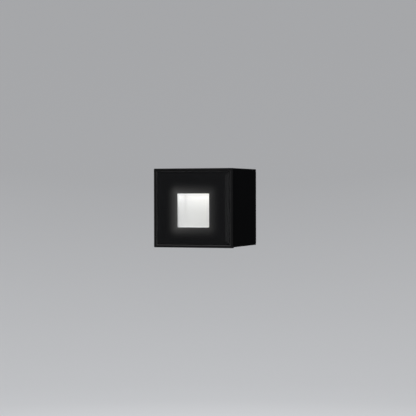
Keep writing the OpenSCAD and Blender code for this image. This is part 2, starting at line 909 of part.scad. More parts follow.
module lead_grommet() {
    flange_t = 1.4;
    flange_r = 5;
    neck_r = 3.6;
    bore_r = 2.4;
    color(black_rubber)
        moved(lead_hole_at)
            out(bulkhead_rear - flange_t)
                difference() {
                    union() {
                        cylinder(r = flange_r, h = flange_t);
                        cylinder(r = neck_r, h = bulkhead_t + 2 * flange_t);
                        translate([0, 0, flange_t + bulkhead_t]) cylinder(r = flange_r, h = flange_t);
                    }
                    translate([0, 0, -past]) cylinder(r = bore_r, h = bulkhead_t + 2 * flange_t + 2 * past);
                }
}

wall_gasket();
wall_plate();
cable_grommet();
terminal_block();
terminal_inserts();
terminal_clamp_screws();
terminal_block_screws();
supply_socket();
supply_socket_screws();
plate_earth_screw();
plate_earth_washer();
plate_earth_ring();
plate_earth_lead();
live_lead();
neutral_lead();
earth_lead();
housing();
set_screws();
frame_gasket();
front_frame();
frame_screws();
glass_seal();
front_glass();
diffuser();
reflector();
led_board();
led_chips();
led_connector();
thermal_pad();
light_engine_screws();
driver_case();
driver_lid();
driver_board();
driver_screws();
supply_plug();
plug_pins();
supply_plug_screws();
head_earth_screw();
head_earth_ring();
head_earth_lead();
driver_live_lead();
driver_neutral_lead();
led_plus_lead();
led_minus_lead();
lead_grommet();
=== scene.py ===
import math
import random

import bmesh
import bpy
from mathutils import Matrix, Vector


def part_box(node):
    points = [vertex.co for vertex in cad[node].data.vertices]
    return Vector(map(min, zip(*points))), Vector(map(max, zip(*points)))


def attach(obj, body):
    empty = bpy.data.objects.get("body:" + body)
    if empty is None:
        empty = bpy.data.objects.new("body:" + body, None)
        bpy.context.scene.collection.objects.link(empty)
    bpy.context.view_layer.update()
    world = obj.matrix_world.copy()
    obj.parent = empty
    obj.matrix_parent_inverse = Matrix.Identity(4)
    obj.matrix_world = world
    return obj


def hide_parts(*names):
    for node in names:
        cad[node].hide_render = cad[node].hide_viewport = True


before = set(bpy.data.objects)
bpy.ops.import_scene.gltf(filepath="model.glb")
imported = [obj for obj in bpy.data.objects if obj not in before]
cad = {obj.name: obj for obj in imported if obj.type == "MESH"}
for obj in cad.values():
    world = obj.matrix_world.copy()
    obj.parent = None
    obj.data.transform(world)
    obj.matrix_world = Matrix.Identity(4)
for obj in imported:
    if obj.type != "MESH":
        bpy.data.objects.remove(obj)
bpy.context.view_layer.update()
mm = 0.001
wallSet = "wall_set"
lampHead = "lamp_head"
print("frame loaded,", len(cad), "CAD nodes")


# Shader maths: a Wire is one socket, so sums on it are written as sums

class Wire:
    def __init__(self, shader, socket):
        self.shader = shader
        self.socket = socket

    def maths(self, operation, first, second=0.0, third=0.0):
        sockets = {0: first, 1: second, 2: third}
        return self.shader.node("Math", {"operation": operation}, sockets)

    def __add__(self, other):
        return self.maths("ADD", self, other)

    def __radd__(self, other):
        return self.maths("ADD", other, self)

    def __sub__(self, other):
        return self.maths("SUBTRACT", self, other)

    def __rsub__(self, other):
        return self.maths("SUBTRACT", other, self)

    def __mul__(self, other):
        return self.maths("MULTIPLY", self, other)

    def __rmul__(self, other):
        return self.maths("MULTIPLY", other, self)

    def __truediv__(self, other):
        return self.maths("DIVIDE", self, other)

    def __pow__(self, other):
        return self.maths("POWER", self, other)

    def __abs__(self):
        return self.maths("ABSOLUTE", self)

    def exponent(self):
        return self.maths("EXPONENT", self)

    def zigzag(self, height):
        return self.maths("PINGPONG", self, height)

    def atLeast(self, other):
        return self.maths("MAXIMUM", self, other)

    def atMost(self, other):
        return self.maths("MINIMUM", self, other)

    def rise(self, low, high):  # 0 below low, 1 above high, smooth between
        ranges = {"Value": self, "From Min": low, "From Max": high}
        return self.shader.node("MapRange", {"interpolation_type": "SMOOTHSTEP"}, ranges)


class Shader:
    def __init__(self, name):
        self.material = bpy.data.materials.new(name)
        self.material.use_nodes = True
        self.tree = self.material.node_tree
        self.tree.nodes.clear()

    def node(self, kind, settings=None, sockets=None, out=0):
        made = self.tree.nodes.new("ShaderNode" + kind)
        for key, value in (settings or {}).items():
            setattr(made, key, value)
        for key, value in (sockets or {}).items():
            if isinstance(value, Wire):
                self.tree.links.new(value.socket, made.inputs[key])
            else:
                made.inputs[key].default_value = value
        return Wire(self, made.outputs[out]) if len(made.outputs) else None

    def place(self):  # metres in the model's own frame
        return self.node("TexCoord", out="Object")

    def axes(self, vector):
        return [self.node("SeparateXYZ", sockets={0: vector}, out=axis) for axis in "XYZ"]

    def stretched(self, vector, scale):
        return self.node("Mapping", sockets={"Vector": vector, "Scale": scale})

    def noise(self, vector, perMetre, detail=3.0, roughness=0.55):
        sockets = {"Vector": vector, "Scale": perMetre, "Detail": detail, "Roughness": roughness}
        return self.node("TexNoise", sockets=sockets)

    def cells(self, vector, perMetre, out="Distance"):
        return self.node("TexVoronoi", sockets={"Vector": vector, "Scale": perMetre}, out=out)

    def blend(self, factor, first, second):
        sockets = {0: factor, 6: rgba(first), 7: rgba(second)}
        return self.node("Mix", {"data_type": "RGBA"}, sockets, out=2)

    def bump(self, height, strength, distance):
        return self.node("Bump", sockets={"Height": height, "Strength": strength, "Distance": distance})

    def edges(self, radius, gain):  # 0 on open faces, up to 1 where the surface turns a corner
        around = self.node("Bevel", {"samples": 6}, {"Radius": radius})
        normal = self.node("NewGeometry", out="Normal")
        along = self.node("VectorMath", {"operation": "DOT_PRODUCT"}, {0: around, 1: normal}, "Value")
        return ((1 - along) * gain).rise(0.0, 1.0)

    def facingUp(self):
        return self.axes(self.node("NewGeometry", out="Normal"))[2].rise(0.4, 1.0)

    def surface(self, **sockets):  # the keys are socket names, with _ for a space
        named = {key.replace("_", " "): rgba(value) for key, value in sockets.items()}
        principled = self.node("BsdfPrincipled", sockets=named)
        self.node("OutputMaterial", sockets={"Surface": principled})
        return self.material


def rgba(colour):  # a plain colour gets its alpha, and anything else passes through
    return (*colour, 1.0) if isinstance(colour, tuple) and len(colour) == 3 else colour


# Finishes

coatFinish = {
    "deep": (0.0085, 0.0086, 0.0090),
    "pale": (0.0125, 0.0126, 0.0130),
    # lighter edges: partly wear, partly a painted highlight along the rounded edges
    "worn": (0.040, 0.040, 0.042),
    "fleck": (0.030, 0.030, 0.032),      # the paler grains of the powder
    "fleckPerMetre": 1500.0,
    "dust": (0.060, 0.056, 0.050),
    "dustAmount": 0.07,
    "wearAndHighlightAmount": 0.28,
    "grainPerMetre": 2600.0,
    "peelPerMetre": 700.0,
    "roughness": 0.62,
    "sheen": 0.02,             # the thin glossy skin of the powder
    "sheenRoughness": 0.36,
}


def powderCoat(name, coat=coatFinish):
    s = Shader(name)
    at = s.place()
    grain = s.noise(at, coat["grainPerMetre"], 2.0)
    peel = s.noise(at, coat["peelPerMetre"], 2.0)
    cloud = s.noise(at, 22.0, 4.0)
    fleck = s.noise(at, coat["fleckPerMetre"], 2.0).rise(0.60, 0.74)
    body = s.blend(cloud * 0.35 + grain * 0.65, coat["deep"], coat["pale"])
    body = s.blend(fleck * 0.35, body, coat["fleck"])
    settled = s.facingUp() * s.noise(at, 260.0, 6.0, 0.75).rise(0.35, 0.75) * coat["dustAmount"]
    dusty = s.blend(settled, body, coat["dust"])
    # edges turned lighter: partly wear, partly a painted highlight on the rounded edges
    worn = s.edges(0.7 * mm, 9.0) * s.noise(at, 420.0, 3.0).rise(0.42, 0.7) * coat["wearAndHighlightAmount"]
    colour = s.blend(worn, dusty, coat["worn"])
    rough = coat["roughness"] + (grain - 0.5) * 0.16 + settled * 0.6 - worn * 0.12
    height = grain * 0.6 + peel * 0.4
    return s.surface(
        Base_Color=colour,
        Roughness=rough,
        Specular_IOR_Level=0.0,
        Coat_Weight=coat["sheen"] + (peel - 0.5) * 0.02 + worn * 0.05,
        Coat_Roughness=coat["sheenRoughness"],
        Normal=s.bump(height, 0.6, 0.07 * mm),
    )


glassFinish = {"tint": (0.985, 0.992, 0.988), "roughness": 0.04, "smearRoughness": 0.015, "index": 1.5}


def clearGlass(name, glass=glassFinish):
    s = Shader(name)
    at = s.place()
    wiped = s.noise(s.stretched(at, (1.0, 1.0, 0.25)), 130.0, 4.0, 0.6).rise(0.5, 0.85)
    specks = 1 - s.cells(at, 420.0).rise(0.05, 0.16)
    kept = s.noise(at, 60.0, 2.0).rise(0.55, 0.75)
    rough = glass["roughness"] + wiped * glass["smearRoughness"] + specks * kept * 0.02
    sockets = {
        "Base Color": rgba(glass["tint"]),
        "Roughness": rough,
        "IOR": glass["index"],
        "Transmission Weight": 1.0,
    }
    pane = s.node("BsdfPrincipled", sockets=sockets)
    passed = s.node("BsdfTransparent", sockets={"Color": (0.92, 0.92, 0.92, 1.0)})
    toLamp = s.node("LightPath", out="Is Shadow Ray")  # lamps reach what is behind the pane
    both = s.node("MixShader", sockets={0: toLamp, 1: pane, 2: passed})
    s.node("OutputMaterial", sockets={"Surface": both})
    return s.material


paintedGlowFinish = {
    "print": (0.0012, 0.0012, 0.0013),
    "glow": (1.0, 0.99, 0.965),
    "peak": 0.056,             # brightness of the painted glow at the window's edge
    "fade": 5.6 * mm,          # the distance over which it falls to a third
    "reach": 17.0 * mm,        # nothing glows further out than this
    "leftBias": 13.0,          # per metre: how much stronger the painted glow is on the left
}


# Black print with a painted glow: its emission around the window stands in for light spreading through the
# glass
def printedBlackPaintedGlow(name, window, glow=paintedGlowFinish):
    s = Shader(name)
    at = s.place()
    x, y, z = s.axes(at)
    outX = (abs(x - window["x"]) - window["half"]).atLeast(0.0)
    outZ = (abs(z - window["z"]) - window["half"]).atLeast(0.0)
    away = (outX * outX + outZ * outZ) ** 0.5
    # the painted glow: emission fading away from the window, stronger on the left and towards the top
    fading = (away * (-1 / glow["fade"])).exponent()
    ending = 1 - away.rise(0.35 * glow["reach"], glow["reach"])
    sided = (1 - (x - window["x"]) * glow["leftBias"]) * (1 + (z - window["z"]) * 2.0)
    mottle = 0.96 + s.noise(at, 900.0, 2.0) * 0.08
    strength = fading * ending * sided * mottle * glow["peak"]
    speckle = s.noise(at, 1800.0, 2.0)
    return s.surface(
        Base_Color=s.blend(speckle, glow["print"], tuple(1.5 * c for c in glow["print"])),
        Roughness=0.45 + speckle * 0.2,
        Specular_IOR_Level=0.0,
        Emission_Color=s.blend(strength, (0.0, 0.0, 0.0), glow["glow"]),
        Emission_Strength=1.0,
    )


opalFinish = {
    "cool": (0.970, 0.980, 1.0),
    "warm": (1.0, 0.986, 0.945),
    "low": 0.24,               # brightness along the bottom
    "more": 0.66,              # how much brighter the top is
    "curve": 3.6,
    "rightBias": 3.4,          # per metre, fading and turning over towards the bottom
    "shadeAt": -11.5 * mm,     # a faint upright shade near the top left
    "shadeWide": 2.6 * mm,
    "shade": 0.15,
    "rim": 0.10,               # how much brighter the outermost part is
}


def litOpal(name, window, opal=opalFinish):
    s = Shader(name)
    at = s.place()
    x, y, z = s.axes(at)
    up = ((z - (window["z"] - window["half"])) / (2 * window["half"])).atLeast(0.0).atMost(1.0)
    aside = x - window["x"]
    offShade = (aside - opal["shadeAt"]) / opal["shadeWide"]
    shade = (offShade * offShade * -1.0).exponent() * up * up * opal["shade"]
    grain = (s.noise(at, 700.0, 2.0) - 0.5) * 0.012
    leaning = aside * (up - 0.3) * opal["rightBias"]
    outward = abs(aside).atLeast(abs(z - window["z"])) / window["half"]
    rim = outward.rise(0.88, 1.0) * opal["rim"]
    bright = opal["low"] + up ** opal["curve"] * opal["more"] + leaning + rim
    tint = s.blend((up * 0.8 + aside * 18.0).atLeast(0.0).atMost(1.0), opal["cool"], opal["warm"])
    level = bright - shade + grain
    lit = s.node("VectorMath", {"operation": "SCALE"}, {0: tint, "Scale": level})
    return s.surface(
        Base_Color=(0.36, 0.36, 0.355),
        Roughness=0.42 + grain,
        Specular_IOR_Level=0.3,
        Emission_Color=lit,
        Emission_Strength=1.0,
    )


def mouldedPlastic(name, colour, roughness=0.5, grainPerMetre=1800.0, relief=0.25, stain=0.12):
    s = Shader(name)
    at = s.place()
    grain = s.noise(at, grainPerMetre, 2.0)
    flow = s.noise(s.stretched(at, (1.0, 0.3, 1.0)), 60.0, 4.0)
    darker = tuple((1 - stain) * c for c in colour)
    # edges made lighter
    lighterEdges = s.edges(0.4 * mm, 8.0) * 0.25
    toned = s.blend(flow.rise(0.3, 0.7), darker, colour)
    return s.surface(
        Base_Color=s.blend(lighterEdges, toned, tuple(min(1.0, 1.25 * c + 0.02) for c in colour)),
        Roughness=roughness + (flow - 0.5) * 0.14 + (grain - 0.5) * 0.08,
        Normal=s.bump(grain, relief, 0.03 * mm),
    )


def softRubber(name, colour, roughness=0.72, poresPerMetre=0.0):
    s = Shader(name)
    at = s.place()
    bloom = s.noise(at, 140.0, 5.0, 0.65).rise(0.45, 0.8)
    fine = s.noise(at, 2400.0, 2.0)
    chalky = tuple(c + 0.035 for c in colour)
    height = fine
    tone = s.blend(bloom * 0.5, colour, chalky)
    if poresPerMetre:
        pores = s.cells(at, poresPerMetre).rise(0.1, 0.45)
        height = pores * 0.8 + fine * 0.2
        # the pores are painted darker: painted shade inside the cells
        tone = s.blend(1 - pores, tone, tuple(0.4 * c for c in colour))
    return s.surface(
        Base_Color=tone,
        Roughness=roughness + bloom * 0.15,
        Specular_IOR_Level=0.35,
        Normal=s.bump(height, 0.5 if poresPerMetre else 0.3, 0.06 * mm),
    )


def metal(name, colour, roughness=0.32, brushed=(1.0, 1.0, 1.0), tarnish=(0.2, 0.16, 0.1), tarnishAmount=0.2):
    s = Shader(name)
    at = s.place()
    lines = s.noise(s.stretched(at, brushed), 1500.0, 3.0)
    patches = s.noise(at, 190.0, 5.0, 0.65).rise(0.45, 0.8)
    shine = s.edges(0.3 * mm, 8.0) * 0.3
    base = s.blend(patches * tarnishAmount, colour, tarnish)
    return s.surface(
        Base_Color=s.blend(shine, base, tuple(min(1.0, 1.3 * c) for c in colour)),
        Metallic=1.0,
        Roughness=roughness + (lines - 0.5) * 0.2 + patches * 0.15,
        Normal=s.bump(lines, 0.12, 0.03 * mm),
    )


def zincPlate(name):
    s = Shader(name)
    at = s.place()
    spangle = s.cells(at, 480.0, out="Color")
    tone = s.axes(spangle)[0] * 0.45 + s.noise(s.stretched(at, (1.0, 1.0, 0.06)), 1600.0, 3.0) * 0.55
    flecks = s.noise(at, 900.0, 3.0)
    white = s.noise(at, 70.0, 6.0, 0.7).rise(0.6, 0.85)  # white bloom of old zinc
    plated = s.blend(tone, (0.50, 0.52, 0.54), (0.68, 0.70, 0.72))
    edge = s.edges(0.5 * mm, 8.0) * 0.4
    return s.surface(
        Base_Color=s.blend(white * 0.35, s.blend(edge, plated, (0.82, 0.83, 0.84)), (0.72, 0.73, 0.71)),
        Metallic=1 - white * 0.35,
        Roughness=0.32 + tone * 0.10 + white * 0.2,
        Normal=s.bump(flecks * 0.5 + tone * 0.5, 0.15, 0.03 * mm),
    )


def circuitBoard(name, mask, copper, tracksPerMetre, metallicCore=False):
    s = Shader(name)
    at = s.place()
    x, y, z = s.axes(at)
    column = (x * tracksPerMetre).zigzag(0.5)
    row = (z * tracksPerMetre).zigzag(0.5)
    chosen = s.cells(s.stretched(at, (1.0, 0.0, 1.0)), tracksPerMetre * 0.45, out="Color")
    upright = s.axes(chosen)[0].rise(0.49, 0.51)
    tracks = column.atMost(row + upright).rise(0.30, 0.34) * 0.9
    weave = s.noise(at, 1500.0, 2.0)
    return s.surface(
        Base_Color=s.blend(tracks, s.blend(weave * 0.3, mask, tuple(0.8 * c for c in mask)), copper),
        Metallic=0.3 if metallicCore else 0.0,
        Roughness=0.38 + weave * 0.12 - tracks * 0.05,
        Normal=s.bump(tracks, 0.4, 0.04 * mm),
    )


# The window, from the frame: the light engine behind the glass is centred on it
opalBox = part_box("diffuser")
windowSide = 42.5 * mm
window = {
    "x": (opalBox[0].x + opalBox[1].x) / 2,
    "z": (opalBox[0].z + opalBox[1].z) / 2,
    "half": windowSide / 2,
}

blackCoat = powderCoat("blackCoat")
paneGlass = clearGlass("paneGlass")
blackPrintPaintedGlow = printedBlackPaintedGlow("blackPrintPaintedGlow", window)
litOpalPane = litOpal("litOpalPane", window)
blackSilicone = softRubber("blackSilicone", (0.012, 0.012, 0.013), 0.6)
blackRubber = softRubber("blackRubber", (0.018, 0.018, 0.018))
cellFoam = softRubber("cellFoam", (0.022, 0.022, 0.023), 0.85, poresPerMetre=1300.0)
greyPad = softRubber("greyPad", (0.25, 0.32, 0.37), 0.6)
whiteMoulding = mouldedPlastic("whiteMoulding", (0.80, 0.80, 0.77), 0.45)
greyMoulding = mouldedPlastic("greyMoulding", (0.56, 0.57, 0.55), 0.55, 1300.0, 0.4)
lidMoulding = mouldedPlastic("lidMoulding", (0.50, 0.51, 0.49), 0.5, 1300.0, 0.4)
darkMoulding = mouldedPlastic("darkMoulding", (0.022, 0.024, 0.028), 0.42)
platedSteel = zincPlate("platedSteel")
screwSteel = metal("screwSteel", (0.60, 0.60, 0.59), 0.28, (1.0, 12.0, 1.0))
blackenedSteel = metal("blackenedSteel", (0.05, 0.05, 0.053), 0.38, tarnish=(0.09, 0.06, 0.04))
tinnedCopper = metal("tinnedCopper", (0.72, 0.71, 0.69), 0.3)
brass = metal("brass", (0.72, 0.52, 0.22), 0.25, tarnish=(0.25, 0.14, 0.05), tarnishAmount=0.35)
phosphor = mouldedPlastic("phosphor", (0.85, 0.66, 0.12), 0.35)
boardWhite = circuitBoard("boardWhite", (0.80, 0.81, 0.78), (0.70, 0.70, 0.66), 180.0, True)
boardGreen = circuitBoard("boardGreen", (0.02, 0.12, 0.04), (0.06, 0.24, 0.08), 260.0)
leadColours = {
    "brown": mouldedPlastic("brownLead", (0.13, 0.055, 0.025), 0.4, 2600.0, 0.15),
    "blue": mouldedPlastic("blueLead", (0.02, 0.09, 0.34), 0.4, 2600.0, 0.15),
    "green": mouldedPlastic("greenLead", (0.05, 0.26, 0.04), 0.4, 2600.0, 0.15),
    "yellow": mouldedPlastic("yellowLead", (0.72, 0.58, 0.04), 0.4, 2600.0, 0.15),
    "red": mouldedPlastic("redLead", (0.45, 0.02, 0.015), 0.4, 2600.0, 0.15),
    "black": mouldedPlastic("blackLead", (0.016, 0.016, 0.017), 0.4, 2600.0, 0.15),
}
print("finishes made:", len(bpy.data.materials))


# Mesh tools

def roundedLoop(wide, high, radius, depth, middle=(0.0, 0.0), steps=6):
    points = []
    for corner, (side, up) in enumerate(((1, 1), (-1, 1), (-1, -1), (1, -1))):
        for step in range(steps + 1):
            angle = math.radians(90 * corner + 90 * step / steps)
            across = middle[0] + side * (wide / 2 - radius) + radius * math.cos(angle)
            above = middle[1] + up * (high / 2 - radius) + radius * math.sin(angle)
            points.append(Vector((across, depth, above)))
    return points


def loft(bm, loops, ring=False):  # a skin over loops that have the same count of points
    rows = [[bm.verts.new(point) for point in loop] for loop in loops]
    pairs = list(zip(rows, rows[1:]))
    if ring:
        pairs.append((rows[-1], rows[0]))
    made = []
    for first, second in pairs:
        for i in range(len(first)):
            j = (i + 1) % len(first)
            made.append(bm.faces.new((first[i], first[j], second[j], second[i])))
    if not ring:
        made.append(bm.faces.new(rows[0]))
        made.append(bm.faces.new(rows[-1]))
    return made


# (radius, along) points turned about an axis through the centre
def turned(bm, profile, centre, axis="Y", segments=40, ring=False):
    loops = []
    for radius, along in profile:
        loop = []
        for i in range(segments):
            angle = 2 * math.pi * i / segments
            a, b = radius * math.cos(angle), radius * math.sin(angle)
            offset = (a, along, b) if axis == "Y" else (a, b, along)
            loop.append(Vector(centre) + Vector(offset))
        loops.append(loop)
    return loft(bm, loops, ring)


def addPiece(name, bm, finishes, body, nodes=(), sharpAngle=38.0, weighted=True):
    bmesh.ops.recalc_face_normals(bm, faces=bm.faces)
    mesh = bpy.data.meshes.new(name)
    bm.to_mesh(mesh)
    bm.free()
    for finish in finishes:
        mesh.materials.append(finish)
    mesh.shade_smooth()
    mesh.set_sharp_from_angle(angle=math.radians(sharpAngle))
    piece = bpy.data.objects.new(name, mesh)
    bpy.context.scene.collection.objects.link(piece)
    if weighted:
        modifier = piece.modifiers.new("weightedNormals", "WEIGHTED_NORMAL")
        modifier.keep_sharp = True
    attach(piece, body)
    if nodes:
        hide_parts(*nodes)
    return piece


def scratchPiece(bm):  # a short-lived object that holds this mesh
    mesh = bpy.data.meshes.new("scratch")
    bm.to_mesh(mesh)
    bm.free()
    piece = bpy.data.objects.new("scratch", mesh)
    bpy.context.scene.collection.objects.link(piece)
    return piece


def carved(body, cutter):  # body less cutter
    whole = scratchPiece(body)
    tool = scratchPiece(cutter)
    modifier = whole.modifiers.new("carve", "BOOLEAN")
    modifier.operation = "DIFFERENCE"
    modifier.solver = "EXACT"
    modifier.object = tool
    graph = bpy.context.evaluated_depsgraph_get()
    result = bmesh.new()
    result.from_object(whole, graph)
    for piece in (whole, tool):
        mesh = piece.data
        bpy.data.objects.remove(piece)
        bpy.data.meshes.remove(mesh)
    return result


def sizeOf(node):
    low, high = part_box(node)
    return low, high, high - low, (low + high) / 2


def pieceName(node):  # frame_screws becomes frameScrews
    first, *others = node.split("_")
    return first + "".join(part.capitalize() for part in others)


def repeated(bm, master, places):  # copies of the master mesh in bm, one for each matrix
    for place in places:
        before = set(bm.verts)
        bm.from_mesh(master)
        fresh = [v for v in bm.verts if v not in before]
        bmesh.ops.transform(bm, matrix=place, verts=fresh)


def screwPlaces(node, headRadius):
    low, high, size, middle = sizeOf(node)
    columns = [low.x + headRadius, high.x - headRadius] if size.x > 3 * headRadius else [middle.x]
    rows = [low.z + headRadius, high.z - headRadius] if size.z > 3 * headRadius else [middle.z]
    return [(x, z) for x in columns for z in rows]


# Front: the pane, its black print, the silicone joint and the frame

paneShape = {
    "bevelWide": 5.4 * mm,
    "bevelHigh": 1.2 * mm,
    "arris": 0.25 * mm,        # the ground edge of the glass
    "cornerRadius": 1.2 * mm,
    "bevelSoftness": 0.5 * mm,
}


def makePane(shape=paneShape):
    low, high, size, middle = sizeOf("front_glass")
    centre = (middle.x, middle.z)
    face, back = low.y, high.y
    soft = shape["bevelSoftness"]
    slope = shape["bevelHigh"] / shape["bevelWide"]
    steps = [
        (shape["arris"], back),
        (0.0, back - shape["arris"]),
        (0.0, face + shape["bevelHigh"] + shape["arris"]),
        (shape["arris"], face + shape["bevelHigh"] - shape["arris"] * slope),
        (shape["bevelWide"] - soft, face + soft * slope),
        (shape["bevelWide"] - 0.3 * soft, face + 0.35 * soft * slope),
        (shape["bevelWide"] + 0.4 * soft, face + 0.06 * soft * slope),
        (shape["bevelWide"] + 1.2 * soft, face),
    ]
    loops = []
    for inset, depth in steps:
        radius = max(0.15 * mm, shape["cornerRadius"] - 0.8 * inset)
        loops.append(roundedLoop(size.x - 2 * inset, size.z - 2 * inset, radius, depth, centre))
    bm = bmesh.new()
    loft(bm, loops)
    addPiece("glassPane", bm, [paneGlass], lampHead, ["front_glass"], sharpAngle=9.0)


printShape = {
    "inset": 0.35 * mm,
    "thick": 0.08 * mm,
    "overlap": 0.01 * mm,      # the layer reaches this far past the back of the glass
    "cornerRadius": 0.8 * mm,
}


def makePrint(shape=printShape):
    low, high, size, middle = sizeOf("front_glass")
    front = high.y - shape["thick"]     # just inside the back of the glass, as a fired print is
    back = high.y + shape["overlap"]
    wide, tall = size.x - 2 * shape["inset"], size.z - 2 * shape["inset"]
    radius = shape["cornerRadius"]
    outline = [roundedLoop(wide, tall, radius, depth, (middle.x, middle.z)) for depth in (front, back)]
    windowAt = (window["x"], window["z"])
    opening = [roundedLoop(windowSide, windowSide, radius, depth, windowAt) for depth in (back, front)]
    bm = bmesh.new()
    loft(bm, [outline[0], outline[1], opening[0], opening[1]], ring=True)
    addPiece("glassPrintPaintedGlow", bm, [blackPrintPaintedGlow], lampHead, weighted=False)


frameShape = {
    "lip": 2.8 * mm,
    "edge": 0.55 * mm,         # rounding of the outer front edge
    "innerEdge": 0.3 * mm,
    "rearEdge": 0.25 * mm,
    "cornerRadius": 1.2 * mm,
    "floorThick": 2.4 * mm,
    "opening": 44.5 * mm,
    "openingRadius": 0.6 * mm,
    "postRadius": 4.0 * mm,
    "postEdge": 0.3 * mm,
    "screwHole": 2.05 * mm,
    "screwHead": 3.75 * mm,
}


def makeFrame(shape=frameShape):
    low, high, size, middle = sizeOf("front_frame")
    postEnd = high.y
    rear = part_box("frame_gasket")[0].y          # the frame's back face meets the gasket's front
    lipFront = low.y
    floorFront = rear - shape["floorThick"]
    edge, inner, back, lip = shape["edge"], shape["innerEdge"], shape["rearEdge"], shape["lip"]
    corner = shape["cornerRadius"]
    side, windowAt = shape["opening"], (window["x"], window["z"])
    radius = shape["openingRadius"]
    opening = [roundedLoop(side, side, radius, depth, windowAt) for depth in (floorFront, rear)]
    steps = [(back, rear), (0.0, rear - back)]
    for step in range(6):
        angle = math.radians(90 * step / 5)
        steps.append((edge * (1 - math.cos(angle)), lipFront + edge * (1 - math.sin(angle))))
    for step in range(4):
        angle = math.radians(90 * step / 3)
        steps.append((lip - inner + inner * math.sin(angle), lipFront + inner * (1 - math.cos(angle))))
    steps.append((lip, floorFront))
    loops = [
        roundedLoop(size.x - 2 * inset, size.z - 2 * inset, max(0.4 * mm, corner - inset), depth)
        for inset, depth in steps
    ]
    bm = bmesh.new()
    loft(bm, [opening[1]] + loops + [opening[0]], ring=True)
    hole, radius, edge = shape["screwHole"], shape["postRadius"], shape["postEdge"]
    post = [(hole, rear - mm), (hole, postEnd), (radius - edge, postEnd)]
    post += [(radius, postEnd - edge), (radius, rear - mm)]
    for x, z in screwPlaces("frame_screws", shape["screwHead"]):
        turned(bm, post, (x, 0.0, z), ring=True, segments=32)
    addPiece("frontFrame", bm, [blackCoat], lampHead, ["front_frame"])


sealShape = {
    "cornerRadius": 1.1 * mm,
    "grip": 0.05 * mm,         # how far the joint laps over the edge of the glass
    "bedOpening": 46.0 * mm,
    "bedGap": 0.02 * mm,
    # loops: share of the way from the frame to the glass, growth and depth below the joint's front, in mm
    "bead": ((0.0, 0.0, -0.15), (0.0, -0.5, 0.18), (0.5, 0.0, 0.32), (1.0, 0.5, 0.15), (1.0, 0.0, -0.25)),
}


def makeSeal(shape=sealShape):
    low, high, size, middle = sizeOf("glass_seal")
    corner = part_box("front_glass")[1]
    paneWide, paneTall = 2 * (corner.x - shape["grip"]), 2 * (corner.z - shape["grip"])
    top, floor, radius = low.y, high.y, shape["cornerRadius"]
    steps = [(size.x, size.z, floor)]
    for share, growth, deeper in shape["bead"]:
        wide = size.x + share * (paneWide - size.x) + growth * mm
        tall = size.z + share * (paneTall - size.z) + growth * mm
        steps.append((wide, tall, top + deeper * mm))
    steps.append((paneWide, paneTall, floor))
    bm = bmesh.new()
    centre = (middle.x, middle.z)
    loft(bm, [roundedLoop(wide, tall, radius, depth, centre) for wide, tall, depth in steps], ring=True)
    under = corner.y + shape["bedGap"]
    side, windowAt = shape["bedOpening"], (window["x"], window["z"])
    bed = [roundedLoop(paneWide, paneTall, radius, depth, centre) for depth in (under, floor)]
    hole = [roundedLoop(side, side, radius, depth, windowAt) for depth in (under, floor)]
    loft(bm, [bed[0], hole[0], hole[1], bed[1]], ring=True)
    addPiece("siliconeJoint", bm, [blackSilicone], lampHead, ["glass_seal"])


gasketShape = {
    "wall": 2.2 * mm,
    "cornerRadius": 1.0 * mm,
    # the section, as shares of its width inwards and of its depth
    "section": ((0, 0.15), (0, 0.85), (0.05, 1), (0.95, 1), (1, 0.85), (1, 0.15), (0.95, 0), (0.05, 0)),
}


def makeFrameGasket(shape=gasketShape):
    low, high, size, middle = sizeOf("frame_gasket")
    centre = (middle.x, middle.z)
    loops = []
    for inward, along in shape["section"]:
        inset = inward * shape["wall"]
        wide, tall = size.x - 2 * inset, size.z - 2 * inset
        loops.append(roundedLoop(wide, tall, shape["cornerRadius"], low.y + along * size.y, centre))
    bm = bmesh.new()
    loft(bm, loops, ring=True)
    addPiece("frameGasket", bm, [blackRubber], lampHead, ["frame_gasket"])


diffuserShape = {"edge": 0.3 * mm, "cornerRadius": 0.8 * mm}


def makeDiffuser(shape=diffuserShape):
    low, high, size, middle = sizeOf("diffuser")
    edge = shape["edge"]
    loops = []
    for inset, depth in ((edge, high.y), (0.0, high.y - edge), (0.0, low.y + edge), (edge, low.y)):
        side = size.x - 2 * inset
        loops.append(roundedLoop(side, side, shape["cornerRadius"], depth, (middle.x, middle.z)))
    bm = bmesh.new()
    loft(bm, loops)
    addPiece("opalDiffuser", bm, [litOpalPane], lampHead, ["diffuser"])


makePane()
makePrint()
makeFrame()
makeSeal()
makeFrameGasket()
makeDiffuser()
print("front made")


# Screws: a domed pan head with a cross recess, and a rolled thread

screwShape = {
    "pitchShare": 0.19,        # of the shank's diameter
    "finestPitch": 0.45 * mm,
    "coreShare": 0.84,
    "turnSteps": 14,
    "recessShare": 0.6,        # of the head's radius
    # the head's section, as shares of its radius and height
    "dome": ((0.3, 0.985), (0.55, 0.94), (0.78, 0.82), (0.93, 0.6), (1.0, 0.32), (1.0, 0.06), (0.96, 0.0)),
}


def thread(bm, radius, core, start, end, pitch, turnSteps):
    turns = abs(end - start) / pitch
    count = int(turns * turnSteps)
    toward = 1 if end > start else -1
    rows = []
    for i in range(count + 1):
        angle = 2 * math.pi * i / turnSteps
        along = start + toward * pitch * i / turnSteps
        crest = core + (radius - core) * min(1.0, 3 * i / turnSteps, 3 * (count - i) / turnSteps)
        row = []
        for reach, shift in ((core * 0.96, -0.42), (crest, -0.06), (crest, 0.06), (core * 0.96, 0.42)):
            x, z = reach * math.cos(angle), reach * math.sin(angle)
            row.append(bm.verts.new((x, along + shift * pitch, z)))
        rows.append(row)
    for first, second in zip(rows, rows[1:]):
        for i in range(4):
            j = (i + 1) % 4
            bm.faces.new((first[i], first[j], second[j], second[i]))
    bm.faces.new(rows[0])
    bm.faces.new(rows[-1])


